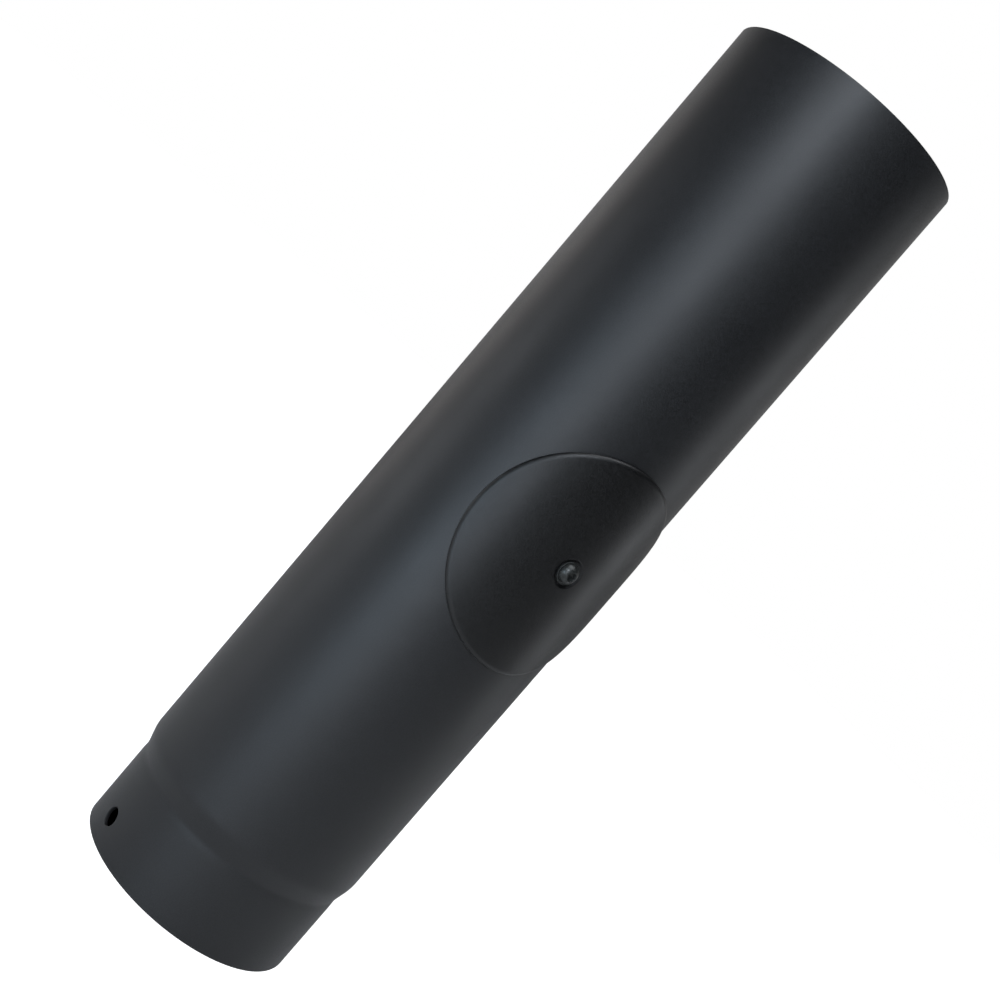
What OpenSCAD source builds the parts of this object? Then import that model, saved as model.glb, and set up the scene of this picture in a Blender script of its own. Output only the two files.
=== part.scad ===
// Stove pipe with a round inspection door.
// The pipe stands upright on its spigot. Z runs along the pipe, the origin is the centre of the
// spigot's end, the door looks along -Y and the hanging hole along -X.

/* [Pipe] */
// Inside diameter of the pipe, its nominal size
bore_d = 125; // [110:5:200]
// Thickness of the steel wall
wall = 2; // [1.5:0.25:3]
// Length of the pipe from the spigot's end to the socket's rim
pipe_h = 500; // [400:10:1000]
// Chamfer on the edges of both ends
end_chamfer = 0.4; // [0.2:0.1:0.6]

/* [Spigot] */
// Gap all round between the spigot and the bore that it fits
spigot_play = 0.5; // [0.3:0.1:1]
// Length of the spigot, up to the foot of the shoulder
spigot_l = 44; // [40:1:60]
// How much the neck beside the shoulder is drawn in
neck_in = 0.25; // [0.1:0.05:0.5]
// Length over which the neck draws in
neck_l = 4; // [2:1:20]
// Slope of the pressed shoulder, away from the pipe's axis
shoulder_angle = 14.3; // [10:0.1:20]
// Radius of the soft bend from the shoulder into the pipe
shoulder_bend_r = 21; // [10:1:30]

/* [Hanging hole] */
// Diameter of the hole in the spigot
hole_d = 10; // [6:0.5:14]
// Height of the hole's centre above the spigot's end
hole_z = 14.5; // [12:0.5:22]
// Turn of the hole round the pipe, clockwise from the door seen from above
hole_turn = 90; // [60:5:180]

/* [Inspection opening] */
// Diameter of the opening, measured along the curved wall
opening_d = 96; // [60:2:110]
// Height of the opening's centre
opening_z = 250; // [170:5:300]

/* [Door cover] */
// How far the cover laps over the wall round the opening
cover_lap = 10; // [6:1:14]
// Thickness of the cover
cover_t = 2; // [1.5:0.25:3]
// Space between the cover and the pipe, filled by the gasket
cover_gap = 0.45; // [0.4:0.05:1.5]
// Width of the rounding along the cover's edge
cover_edge_w = 2.2; // [1:0.1:3]
// Height of the rounding along the cover's edge
cover_edge_h = 1.3; // [0.8:0.1:1.4]
// Clearance hole for the screw
cover_hole_d = 6.6; // [6.4:0.1:7.5]

/* [Screw seat] */
// Diameter of the flat seat pressed into the cover under the screw
seat_d = 13; // [12.6:0.2:16]
// Depth of the seat below the cover's crown
seat_depth = 1.1; // [0.7:0.1:1.6]
// How much the seat widens towards the outside, each side
seat_flare = 0.9; // [0.3:0.1:1.5]

/* [Gasket] */
// Thickness of the pressed gasket
gasket_t = 0.3; // [0.2:0.05:1]
// Width of the gasket's ring
gasket_w = 8; // [5:0.5:9]
// Distance from the cover's edge to the gasket
gasket_inset = 1.2; // [0.6:0.1:2]

/* [Bridge bar] */
// Width of the bar welded across the opening
bar_w = 20; // [16:1:26]
// Thickness of the bar
bar_t = 3; // [2:0.5:4]
// How far the bar laps behind the wall at each end
bar_lap = 8; // [6:1:12]
// Gap between the bar's long edges and the round wall
bar_gap = 0.05; // [0.02:0.01:0.1]
// Leg of the fillet weld at each end of the bar
weld_leg = 3; // [2:0.5:4]
// Gap between a weld's face and the round wall
weld_gap = 0.05; // [0.02:0.01:0.1]

/* [Weld nut] */
// Distance across the nut's flats
nut_af = 11; // [10:0.5:13]
// Height of the nut
nut_h = 5; // [4:0.5:7]
// Diameter of the collar that centres the nut in the bar
nut_collar_d = 8; // [7.4:0.1:9]
// Height of the collar
nut_collar_h = 2; // [1:0.5:2]
// Gap all round the collar in the bar's hole
nut_collar_play = 0.1; // [0.05:0.05:0.3]

/* [Door screw] */
// Diameter of the screw's shank
screw_d = 6; // [5:0.5:6]
// Length of the shank under the head
screw_l = 16; // [15:1:30]
// Gap all round the shank in the nut
thread_play = 0.05; // [0.02:0.01:0.1]
// Diameter of the domed head
head_d = 10.5; // [9.5:0.5:11.5]
// Height of the domed head
head_h = 3.3; // [2.5:0.1:3.5]
// Diameter of the flat at the top of the head
head_flat_d = 5.4; // [5:0.1:6.5]
// Distance across the flats of the socket
socket_af = 4; // [3:0.5:4.5]
// Depth of the socket
socket_depth = 2; // [1:0.1:2.2]
// Depth of the drill point below the socket
socket_point = 0.5; // [0.2:0.1:0.6]
// Chamfer at the end of the shank
tip_chamfer = 0.6; // [0.2:0.1:1]

/* [Washer] */
// Outside diameter of the washer
washer_d = 12; // [11:0.5:12.5]
// Thickness of the washer
washer_t = 1; // [0.5:0.1:1.6]
// Clearance hole in the washer
washer_hole_d = 6.4; // [6.2:0.1:7]

/* [Hidden] */

// Degrees in a radian, for lengths that are rolled round the pipe
deg = 180 / PI;
// Facets of the smooth round forms
smooth = 96;
// Points round each rolled disc
disc_n = 120;
// Steps along each bend of a profile
bend_n = 8;
// Overrun of a cutting shape past the faces that it cuts
past = 1;

pipe_r = bore_d / 2 + wall;
bore_r = bore_d / 2;
spigot_r = bore_r - spigot_play;
neck_r = spigot_r - neck_in;
// The straight stretch of the spigot ends where the neck starts
straight_l = spigot_l - neck_l;

// The shoulder climbs from the neck to the pipe: a slope, then a bend that ends along the wall
bend_rise = shoulder_bend_r * (1 - cos(shoulder_angle));
slope_rise = pipe_r - neck_r - bend_rise;
slope_top_z = spigot_l + slope_rise / tan(shoulder_angle);
shoulder_top_z = slope_top_z + shoulder_bend_r * sin(shoulder_angle);

// Rolled discs are measured along the middle of their own sheet
wall_mid_r = bore_r + wall / 2;
cover_in_r = pipe_r + cover_gap;
cover_out_r = cover_in_r + cover_t;
cover_mid_r = cover_in_r + cover_t / 2;
cover_r = opening_d / 2 + cover_lap;
gasket_out = cover_r - gasket_inset;

seat_y = cover_out_r - seat_depth;
bar_face_y = sqrt(pow(bore_r, 2) - pow(bar_w / 2, 2)) - bar_gap;
bar_l = opening_d + 2 * bar_lap;
head_seat_y = seat_y + washer_t;

paint = "#2c2e31";
cover_paint = "#303134";
raw_steel = "#6f7276";
black_steel = "#222326";
fibre = "#cfc9ba";

// Outer side of the wall below the socket as [radius, height, slope], from the spigot's end up.
// The slope is the angle that the wall leans away from the axis.
function wall_line() = concat(
    [[spigot_r, 0, 0], [spigot_r, straight_l, 0], [neck_r, spigot_l, 0]],
    [for (i = [0:bend_n]) let (a = shoulder_angle * (1 - i / bend_n)) [
        pipe_r - shoulder_bend_r * (1 - cos(a)),
        shoulder_top_z - shoulder_bend_r * sin(a),
        a
    ]]
);

// A point of the wall's inner side, square across the sheet from one of its outer side
function across(p) = [p[0] - wall * cos(p[2]), p[1] + wall * sin(p[2])];

// The section of the wall, with both ends chamfered
module wall_section() {
    line = wall_line();
    n = len(line);
    outer = [for (i = [1:n - 1]) [line[i][0], line[i][1]]];
    inner = [for (i = [n - 1:-1:1]) across(line[i])];
    polygon(concat(
        [[spigot_r - end_chamfer, 0], [spigot_r, end_chamfer]],
        outer,
        [[pipe_r, pipe_h - end_chamfer], [pipe_r - end_chamfer, pipe_h]],
        [[bore_r + end_chamfer, pipe_h], [bore_r, pipe_h - end_chamfer]],
        inner,
        [[spigot_r - wall, end_chamfer], [spigot_r - wall + end_chamfer, 0]]
    ));
}

// One ring of points on a disc of radius r that is rolled round the pipe, at distance rho from
// the axis. The roll is measured at roll_r.
function rolled_ring(r, rho, roll_r) = [
    for (i = [0:disc_n - 1]) let (a = 360 * i / disc_n, turn = r * cos(a) / roll_r * deg)
        [rho * sin(turn), -rho * cos(turn), opening_z + r * sin(a)]
];

// A rolled disc with sides square to the pipe: each profile entry is [radius, distance from axis],
// from the inside out. It is used to cut sheets of true round form.
module rolled_disc(profile, roll_r) {
    rings = len(profile);
    last = rings * disc_n;
    points = concat(
        [for (p = profile) each rolled_ring(p[0], p[1], roll_r)],
        [[0, -profile[0][1], opening_z], [0, -profile[rings - 1][1], opening_z]]
    );
    inner_cap = [for (i = [0:disc_n - 1]) [i, (i + 1) % disc_n, last]];
    outer_cap = [for (i = [0:disc_n - 1])
        [last - disc_n + (i + 1) % disc_n, last - disc_n + i, last + 1]];
    sides = [for (k = [0:rings - 2], i = [0:disc_n - 1])
        let (a = k * disc_n + i, b = k * disc_n + (i + 1) % disc_n)
            each [[a, a + disc_n, b], [b, a + disc_n, b + disc_n]]];
    polyhedron(points, concat(inner_cap, sides, outer_cap), convexity = 6);
}

// A plain rolled disc that reaches from well inside the pipe to well outside it
module rolled_cutter(r, roll_r) rolled_disc([[r, bore_r / 3], [r, 2 * pipe_r]], roll_r);

// A sheet rolled to the pipe, from inner_r to outer_r, high enough for the door
module rolled_sheet(inner_r, outer_r) {
    translate([0, 0, opening_z - cover_r - past])
        difference() {
            cylinder(r = outer_r, h = 2 * (cover_r + past), $fn = smooth);
            translate([0, 0, -past])
                cylinder(r = inner_r, h = 2 * (cover_r + 2 * past), $fn = smooth);
        }
}

// Places a shape whose Z is the screw's axis, Z = 0 at a distance y from the pipe's axis, looking out
module on_screw_axis(y) translate([0, -y, opening_z]) rotate([90, 0, 0]) children();

// The rolled and welded tube, with its spigot pressed down at the foot
module pipe_tube() {
    color(paint)
        difference() {
            rotate_extrude($fn = smooth) wall_section();
            rolled_cutter(opening_d / 2, wall_mid_r);
            rotate([0, 0, -hole_turn])
                translate([0, -spigot_r + wall / 2, hole_z])
                    rotate([90, 0, 0])
                        cylinder(d = hole_d, h = 4 * wall, center = true, $fn = smooth);
        }
}

// The flat bar across the opening, which takes the pull of the screw
module bridge_bar() {
    color(raw_steel)
        difference() {
            translate([-bar_w / 2, -bar_face_y, opening_z - bar_l / 2]) cube([bar_w, bar_t, bar_l]);
            on_screw_axis(bar_face_y - bar_t - past)
                cylinder(r = nut_collar_d / 2 + nut_collar_play, h = bar_t + 2 * past, $fn = smooth);
        }
}

// One fillet between an end of the bar and the wall. up is 1 at the top end and -1 at the foot.
module end_weld(up) {
    intersection() {
        translate([0, -bar_face_y, opening_z + up * bar_l / 2])
            rotate([0, 90, 0])
                cylinder(r = weld_leg, h = bar_w - 2 * bar_t, center = true, $fn = smooth);
        translate([-bar_w, -bore_r, opening_z + (up > 0 ? bar_l / 2 : -bar_l / 2 - 2 * weld_leg)])
            cube([2 * bar_w, 2 * weld_leg, 2 * weld_leg]);
        cylinder(r = bore_r - weld_gap, h = pipe_h, $fn = smooth);
    }
}

// The two welds that hold the bar
module bridge_welds() {
    color(raw_steel) {
        end_weld(1);
        end_weld(-1);
    }
}

// The nut behind the bar, with its collar in the bar's hole
module weld_nut() {
    color(raw_steel)
        on_screw_axis(bar_face_y - bar_t - nut_h)
            difference() {
                union() {
                    intersection() {
                        cylinder(d = nut_af / cos(30), h = nut_h, $fn = 6);
                        nut_corners();
                    }
                    cylinder(d = nut_collar_d, h = nut_h + nut_collar_h, $fn = smooth);
                }
                translate([0, 0, -past])
                    cylinder(r = screw_d / 2 + thread_play, h = nut_h + bar_t + 2 * past, $fn = smooth);
            }
}

// The cone that rounds off the free corners of the hexagon
module nut_corners() {
    corner_r = nut_af / cos(30) / 2;
    drop = (corner_r - nut_af / 2) * tan(30);
    cylinder(r1 = nut_af / 2, r2 = corner_r, h = drop, $fn = smooth);
    translate([0, 0, drop]) cylinder(r = corner_r, h = nut_h - drop, $fn = smooth);
}

// The cover's edge as [radius, distance from axis]: square below, then a quarter of an ellipse
function cover_edge() = concat(
    [[cover_r, bore_r / 3]],
    [for (a = [0, 24, 46, 66]) [
        cover_r - cover_edge_w * (1 - cos(a)),
        cover_out_r - cover_edge_h * (1 - sin(a))
    ]],
    [[cover_r - cover_edge_w * (1 + cos(66)), cover_out_r + cover_edge_h * (1 - sin(66))]],
    [[cover_r - cover_edge_w * (1 + cos(66)), 2 * pipe_r]]
);

// The cover, rolled to the pipe, with a flat seat pressed in under the screw
module door_cover() {
    color(cover_paint)
        difference() {
            union() {
                intersection() {
                    rolled_sheet(cover_in_r, cover_out_r);
                    rolled_disc(cover_edge(), cover_mid_r);
                }
                // the seat's metal, pushed through to the inside
                on_screw_axis(seat_y - cover_t)
                    cylinder(d1 = seat_d, d2 = seat_d + 2 * seat_flare, h = cover_t - seat_depth / 2,
                        $fn = smooth);
            }
            on_screw_axis(seat_y)
                cylinder(d1 = seat_d, d2 = seat_d + 2 * seat_flare * (seat_depth + past) / seat_depth,
                    h = seat_depth + past, $fn = smooth);
            on_screw_axis(seat_y - cover_t - past)
                cylinder(d = cover_hole_d, h = cover_t + seat_depth + 2 * past, $fn = smooth);
        }
}

// The heat-proof gasket glued inside the cover's rim
module door_gasket() {
    color(fibre)
        difference() {
            intersection() {
                rolled_sheet(cover_in_r - gasket_t, cover_in_r);
                rolled_cutter(gasket_out, cover_mid_r);
            }
            rolled_cutter(gasket_out - gasket_w, cover_mid_r);
        }
}

// The washer in the cover's seat
module screw_washer() {
    color(black_steel)
        on_screw_axis(seat_y)
            difference() {
                cylinder(d = washer_d, h = washer_t, $fn = smooth);
                translate([0, 0, -past])
                    cylinder(d = washer_hole_d, h = washer_t + 2 * past, $fn = smooth);
            }
}

// The section of the screw's head: a dome that meets the flat round the socket
module head_section() {
    flat_r = head_flat_d / 2;
    rim_r = head_d / 2;
    // the arc runs through the rim and the flat's edge, with its centre on the axis
    centre_z = (pow(flat_r, 2) + pow(head_h, 2) - pow(rim_r, 2)) / (2 * head_h);
    dome_r = sqrt(pow(rim_r, 2) + pow(centre_z, 2));
    low = asin(-centre_z / dome_r);
    high = acos(flat_r / dome_r);
    polygon(concat(
        [[0, 0]],
        [for (i = [0:2 * bend_n]) let (a = low + (high - low) * i / (2 * bend_n))
            [dome_r * cos(a), centre_z + dome_r * sin(a)]],
        [[0, head_h]]
    ));
}

// The button-headed screw that pulls the cover against the pipe
module door_screw() {
    color(black_steel)
        on_screw_axis(head_seat_y)
            difference() {
                union() {
                    rotate_extrude($fn = smooth) head_section();
                    translate([0, 0, tip_chamfer - screw_l])
                        cylinder(d = screw_d, h = screw_l, $fn = smooth);
                    translate([0, 0, -screw_l])
                        cylinder(r1 = screw_d / 2 - tip_chamfer, r2 = screw_d / 2, h = tip_chamfer,
                            $fn = smooth);
                }
                translate([0, 0, head_h - socket_depth])
                    cylinder(d = socket_af / cos(30), h = socket_depth + past, $fn = 6);
                translate([0, 0, head_h - socket_depth - socket_point])
                    cylinder(r1 = 0, r2 = socket_af / 2, h = socket_point, $fn = smooth);
            }
}

pipe_tube();
bridge_bar();
bridge_welds();
weld_nut();
door_cover();
door_gasket();
screw_washer();
door_screw();
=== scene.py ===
"""The finished look of a stove pipe with a round inspection door.

Three pieces are cut flat and then rolled round the pipe's axis, as the real sheets are: the pipe, the
door's cover and its gasket. Lengths are in metres. Z runs up the pipe and the door looks along -Y.
"""

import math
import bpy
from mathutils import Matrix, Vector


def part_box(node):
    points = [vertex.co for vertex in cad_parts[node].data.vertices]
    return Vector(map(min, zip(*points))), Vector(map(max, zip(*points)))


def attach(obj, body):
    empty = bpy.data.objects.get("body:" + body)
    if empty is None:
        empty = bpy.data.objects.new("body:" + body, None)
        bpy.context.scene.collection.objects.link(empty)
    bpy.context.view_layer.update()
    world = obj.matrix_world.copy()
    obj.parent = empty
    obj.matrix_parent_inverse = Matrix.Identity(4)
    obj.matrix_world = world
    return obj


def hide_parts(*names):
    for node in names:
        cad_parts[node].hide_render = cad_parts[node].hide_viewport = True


bl_info = {
    "name": "Stove Pipe With Inspection Door",
    "version": (1, 0, 0),
    "blender": (4, 5, 0),
    "location": "View3D > Sidebar > Stove Pipe",
    "description": "Builds a painted stove pipe, its inspection door and the screw that holds it",
    "category": "Object",
}

import bmesh
import bpy
import numpy as np
from bpy.props import FloatProperty, FloatVectorProperty, IntProperty, PointerProperty
from bpy.types import Operator, Panel, PropertyGroup
from mathutils import Matrix, Vector

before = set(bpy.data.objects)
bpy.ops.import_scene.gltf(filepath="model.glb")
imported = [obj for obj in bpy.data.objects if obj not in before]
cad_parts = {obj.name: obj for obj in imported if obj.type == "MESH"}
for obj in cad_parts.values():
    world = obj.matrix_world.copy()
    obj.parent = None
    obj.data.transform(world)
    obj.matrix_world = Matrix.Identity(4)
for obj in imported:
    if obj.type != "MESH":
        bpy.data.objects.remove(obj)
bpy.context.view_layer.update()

PIPE_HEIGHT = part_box("pipe_tube")[1].z
# Keeps the underside of the screw's head off the washer's face
SEAT_GAP = 0.00002

SEAT_PLANE = -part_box("screw_washer")[1].y
HEAD_SEAT = -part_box("screw_washer")[0].y
SCREW_TIP = -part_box("door_screw")[1].y
BAR_BACK = -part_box("bridge_bar")[1].y
BAR_FACE = -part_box("bridge_bar")[0].y
NUT_BACK = -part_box("weld_nut")[1].y


def length(name, description, default, low=0.0001, high=1.0):
    """A size in metres, shown in millimetres where the scene's units say so."""
    return FloatProperty(
        name=name,
        description=description,
        default=default,
        min=low,
        max=high,
        precision=5,
        subtype="DISTANCE",
        unit="LENGTH",
    )


def paint(name, description, default):
    return FloatVectorProperty(
        name=name,
        description=description,
        default=default,
        size=3,
        min=0.0,
        max=1.0,
        subtype="COLOR",
    )


# ---------------------------------------------------------------------------------------------
# Sizes and finishes that a user would change
# ---------------------------------------------------------------------------------------------


class PipeSizes(PropertyGroup):
    outer_radius: length("Outer radius", "Outside radius of the pipe", 0.0645)
    wall: length("Wall", "Thickness of the steel", 0.002)
    spigot_drop: length("Spigot drop", "How far the spigot lies inside the pipe's outside", 0.0025)
    neck_drop: length("Neck drop", "The same at the neck beside the shoulder", 0.00275)
    neck_start: length("Neck start", "Height at which the neck starts to draw in", 0.040)
    shoulder_foot: length("Shoulder foot", "Height of the foot of the shoulder", 0.044)
    shoulder_angle: FloatProperty(
        name="Shoulder angle",
        description="Slope of the shoulder away from the pipe's axis",
        default=math.radians(14.3),
        subtype="ANGLE",
        unit="ROTATION",
    )
    shoulder_bend: length("Shoulder bend", "Radius of the bend from the shoulder to the pipe", 0.021)
    hole_height: length("Hole height", "Height of the hanging hole above the foot", 0.0145)
    hole_radius: length("Hole radius", "Radius of the hanging hole", 0.005)
    opening_height: length("Opening height", "Height of the inspection opening's centre", 0.250)
    opening_radius: length("Opening radius", "Radius of the opening along the wall", 0.048)
    edge_radius: length("Edge radius", "Rounding of the cut edges", 0.00035)
    columns: IntProperty(
        name="Columns", description="Quads round the pipe", default=160, min=32, max=320
    )


class DoorSizes(PropertyGroup):
    cover_inside: length("Cover inside", "Distance from the axis to the cover's inner side", 0.06495)
    cover_radius: length("Cover radius", "Radius of the cover along its curve", 0.058)
    thickness: length("Thickness", "Thickness of the cover", 0.002)
    edge_width: length("Edge width", "Width of the rounding on the cover's edge", 0.0026)
    edge_depth: length("Edge depth", "Depth of the rounding on the cover's edge", 0.0016)
    hole_radius: length("Hole radius", "Radius of the screw's clearance hole", 0.0033)
    seat_radius: length("Seat radius", "Radius of the flat seat pressed under the screw", 0.0064)
    seat_blend: length("Seat blend", "Width of the soft slope round the seat", 0.0015)
    gasket_outer: length("Gasket outer radius", "Outer radius of the gasket", 0.0568)
    gasket_width: length("Gasket width", "Width of the gasket's ring", 0.008)
    gasket_thickness: length("Gasket thickness", "Thickness of the pressed gasket", 0.0003)
    segments: IntProperty(
        name="Segments", description="Quads round the cover", default=176, min=32, max=320
    )


class FastenerSizes(PropertyGroup):
    head_radius: length("Head radius", "Radius of the domed head", 0.00525)
    head_height: length("Head height", "Height of the domed head", 0.0033)
    head_flat: length("Head flat", "Radius of the flat round the socket", 0.0027)
    socket_across: length("Socket", "Distance across the socket's flats", 0.004)
    socket_depth: length("Socket depth", "Depth of the socket", 0.002)
    shank_radius: length("Shank radius", "Radius over the thread", 0.003)
    root_radius: length("Root radius", "Radius at the foot of the thread", 0.00242)
    pitch: length("Pitch", "Distance between two turns of the thread", 0.001)
    washer_radius: length("Washer radius", "Outer radius of the washer", 0.006)
    washer_hole: length("Washer hole", "Radius of the washer's hole", 0.0032)
    nut_across: length("Nut", "Distance across the nut's flats", 0.011)
    nut_height: length("Nut height", "Height of the nut without its collar", 0.005)
    nut_collar: length("Collar radius", "Radius of the nut's collar", 0.004)
    nut_bore: length("Nut bore", "Radius inside the nut's thread", 0.00305)
    bar_width: length("Bar width", "Width of the bridge bar", 0.020)
    bar_edge: length("Bar edge", "Rounding of the bar's edges", 0.0005)
    bar_hole: length("Bar hole", "Radius of the hole for the nut's collar", 0.0041)
    weld_leg: length("Weld leg", "Leg of the fillet welds", 0.003)
    weld_width: length("Weld width", "Width of each weld across the bar", 0.014)


class Finishes(PropertyGroup):
    pipe_colour: paint("Pipe paint", "Colour of the pipe's paint", (0.0066, 0.0069, 0.0078))
    cover_colour: paint("Cover paint", "Colour of the cover's paint", (0.0030, 0.0030, 0.0032))
    steel_colour: paint("Inner steel", "Colour of the bare steel inside", (0.115, 0.112, 0.108))
    screw_colour: paint("Screw", "Colour of the black screw and washer", (0.036, 0.038, 0.037))
    gasket_colour: paint("Gasket", "Colour of the pressed fibre", (0.55, 0.52, 0.46))


class StageSettings(PropertyGroup):
    azimuth: FloatProperty(
        name="Azimuth",
        description="Turn of the camera round the pipe, from the door's side",
        default=math.radians(-37.3),
        subtype="ANGLE",
    )
    distance: length("Distance", "Distance of the camera from the pipe's axis", 0.7433, high=10.0)
    height: length("Height", "Height of the camera above the floor", 0.3085, high=10.0)
    yaw: FloatProperty(
        name="Yaw", description="Turn of the view off the axis", default=math.radians(0.477), subtype="ANGLE"
    )
    pitch: FloatProperty(
        name="Pitch", description="Tilt of the view", default=math.radians(-4.403), subtype="ANGLE"
    )
    roll: FloatProperty(
        name="Roll", description="Turn of the frame", default=math.radians(-40.577), subtype="ANGLE"
    )
    lens: FloatProperty(
        name="Lens", description="Focal length on a 36 mm sensor", default=53.98, min=10.0, unit="CAMERA"
    )


GROUPS = {
    "pipe_sizes": PipeSizes,
    "door_sizes": DoorSizes,
    "fastener_sizes": FastenerSizes,
    "pipe_finishes": Finishes,
    "pipe_stage": StageSettings,
}


# ---------------------------------------------------------------------------------------------
# Flat sheets of quads, with their edges rounded
# ---------------------------------------------------------------------------------------------


class Sheet:
    """A flat sheet as points (along, height), quads, and its edges as (indices, ways into the metal)."""

    def __init__(self):
        self.points = []
        self.quads = []
        self.edges = []

    def add(self, along, height):
        self.points.append((along, height))
        return len(self.points) - 1

    def band(self, inner, outer):
        """Quads between two closed rings of the same count."""
        count = len(inner)
        for k in range(count):
            n = (k + 1) % count
            self.quads.append((inner[k], outer[k], outer[n], inner[n]))


def grid_sheet(columns, rows, wraps=False, holes=(), edge=0.0):
    """A rectangle of quads with round holes. The outline is already drawn in by the edge's rounding.

    columns and rows are the places of the grid's lines. Where the sheet wraps, its last column joins the
    first. Each hole is (column, row, half, radius), and rings of quads fill the square of 2 * half
    cells a side round it.
    """
    sheet = Sheet()
    count = len(columns)
    known = {}

    def corner(i, j):
        key = (i % count if wraps else i, j)
        if key not in known:
            known[key] = sheet.add(columns[key[0]], rows[j])
        return known[key]

    taken = set()
    for column, row, half, _ in holes:
        for i in range(column - half, column + half):
            taken.update((i % count, j) for j in range(row - half, row + half))
    cells = count if wraps else count - 1
    for i in range(cells):
        for j in range(len(rows) - 1):
            if (i, j) not in taken:
                sheet.quads.append(
                    (corner(i, j), corner(i + 1, j), corner(i + 1, j + 1), corner(i, j + 1))
                )
    for column, row, half, radius in holes:
        ring_hole(sheet, corner, columns, rows, (column, row, half, radius + edge))
    last = len(rows) - 1
    if wraps:
        for j, way in ((0, 1.0), (last, -1.0)):
            sheet.edges.append(([corner(i, j) for i in range(count)], [(0.0, way)] * count))
    else:
        outline = [(i, 0) for i in range(cells)] + [(cells, j) for j in range(last)]
        outline += [(i, last) for i in range(cells, 0, -1)] + [(0, j) for j in range(last, 0, -1)]
        ways = [
            (float(i == 0) - float(i == cells), float(j == 0) - float(j == last)) for i, j in outline
        ]
        sheet.edges.append(([corner(i, j) for i, j in outline], ways))
    return sheet


def ring_hole(sheet, corner, columns, rows, hole):
    """Rings of quads from a round hole out to the square of the grid round it."""
    column, row, half, radius = hole
    square = [(half, k) for k in range(half)]
    square += [(half - k, half) for k in range(2 * half)]
    square += [(-half, half - k) for k in range(2 * half)]
    square += [(k - half, -half) for k in range(2 * half)]
    square += [(half, k - half) for k in range(half)]
    outer = [corner(column + i, row + j) for i, j in square]
    middle = (columns[column % len(columns)], rows[row])
    turns = [2 * math.pi * k / len(square) for k in range(len(square))]
    ways = [(math.cos(a), math.sin(a)) for a in turns]
    round_points = [(middle[0] + radius * x, middle[1] + radius * y) for x, y in ways]
    rings = []
    for share in (0.0, 0.05, 0.2, 0.4, 0.6, 0.8):
        ring = []
        for (x, y), k in zip(round_points, outer):
            far = sheet.points[k]
            ring.append(sheet.add(x + (far[0] - x) * share, y + (far[1] - y) * share))
        rings.append(ring)
    rings.append(outer)
    for inner, beyond in zip(rings, rings[1:]):
        sheet.band(inner, beyond)
    sheet.edges.append((rings[0], ways))


def disc_sheet(radii, count, height):
    """Rings of quads about a centre at that height, from the first radius to the last."""
    sheet = Sheet()
    turns = [2 * math.pi * k / count for k in range(count)]
    ways = [(math.cos(a), math.sin(a)) for a in turns]
    rings = [[sheet.add(r * x, height + r * y) for x, y in ways] for r in radii]
    for inner, outer in zip(rings, rings[1:]):
        sheet.band(inner, outer)
    sheet.edges.append((rings[0], ways))
    sheet.edges.append((rings[-1], [(-x, -y) for x, y in ways]))
    return sheet


def edge_profile(width, depth, inner, thickness, steps=4):
    """Points (towards the edge, depth) round a sheet's edge, from its outer side to its inner side."""
    quarter = [math.pi / 2 * k / steps for k in range(1, steps + 1)]
    points = [(width * math.sin(a), -depth * (1 - math.cos(a))) for a in quarter]
    points += [
        (width - inner * (1 - math.cos(a)), inner * (1 - math.sin(a)) - thickness)
        for a in [0.0] + quarter
    ]
    if math.isclose(width, inner):
        points.pop()
    return points


def thicken(sheet, thickness, profiles):
    """Vertices (along, depth, height) and quads of a closed sheet, with one profile for each edge."""
    count = len(sheet.points)
    verts = [(x, 0.0, z) for x, z in sheet.points] + [(x, -thickness, z) for x, z in sheet.points]
    quads = list(sheet.quads) + [tuple(count + k for k in reversed(q)) for q in sheet.quads]
    for (loop, ways), profile in zip(sheet.edges, profiles):
        rings = [list(loop)]
        for reach, depth in profile:
            start = len(verts)
            for k, (wx, wz) in zip(loop, ways):
                x, z = sheet.points[k]
                verts.append((x - wx * reach, depth, z - wz * reach))
            rings.append(list(range(start, len(verts))))
        rings.append([count + k for k in loop])
        for upper, lower in zip(rings, rings[1:]):
            for k in range(len(loop)):
                n = (k + 1) % len(loop)
                quads.append((upper[k], upper[n], lower[n], lower[k]))
    return verts, quads


# ---------------------------------------------------------------------------------------------
# Round pieces, made of rings about the screw's axis
# ---------------------------------------------------------------------------------------------

RING = 48
TURNS = np.linspace(0.0, 2 * math.pi, RING, endpoint=False)
SOFT_EDGE = math.radians(38)


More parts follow.
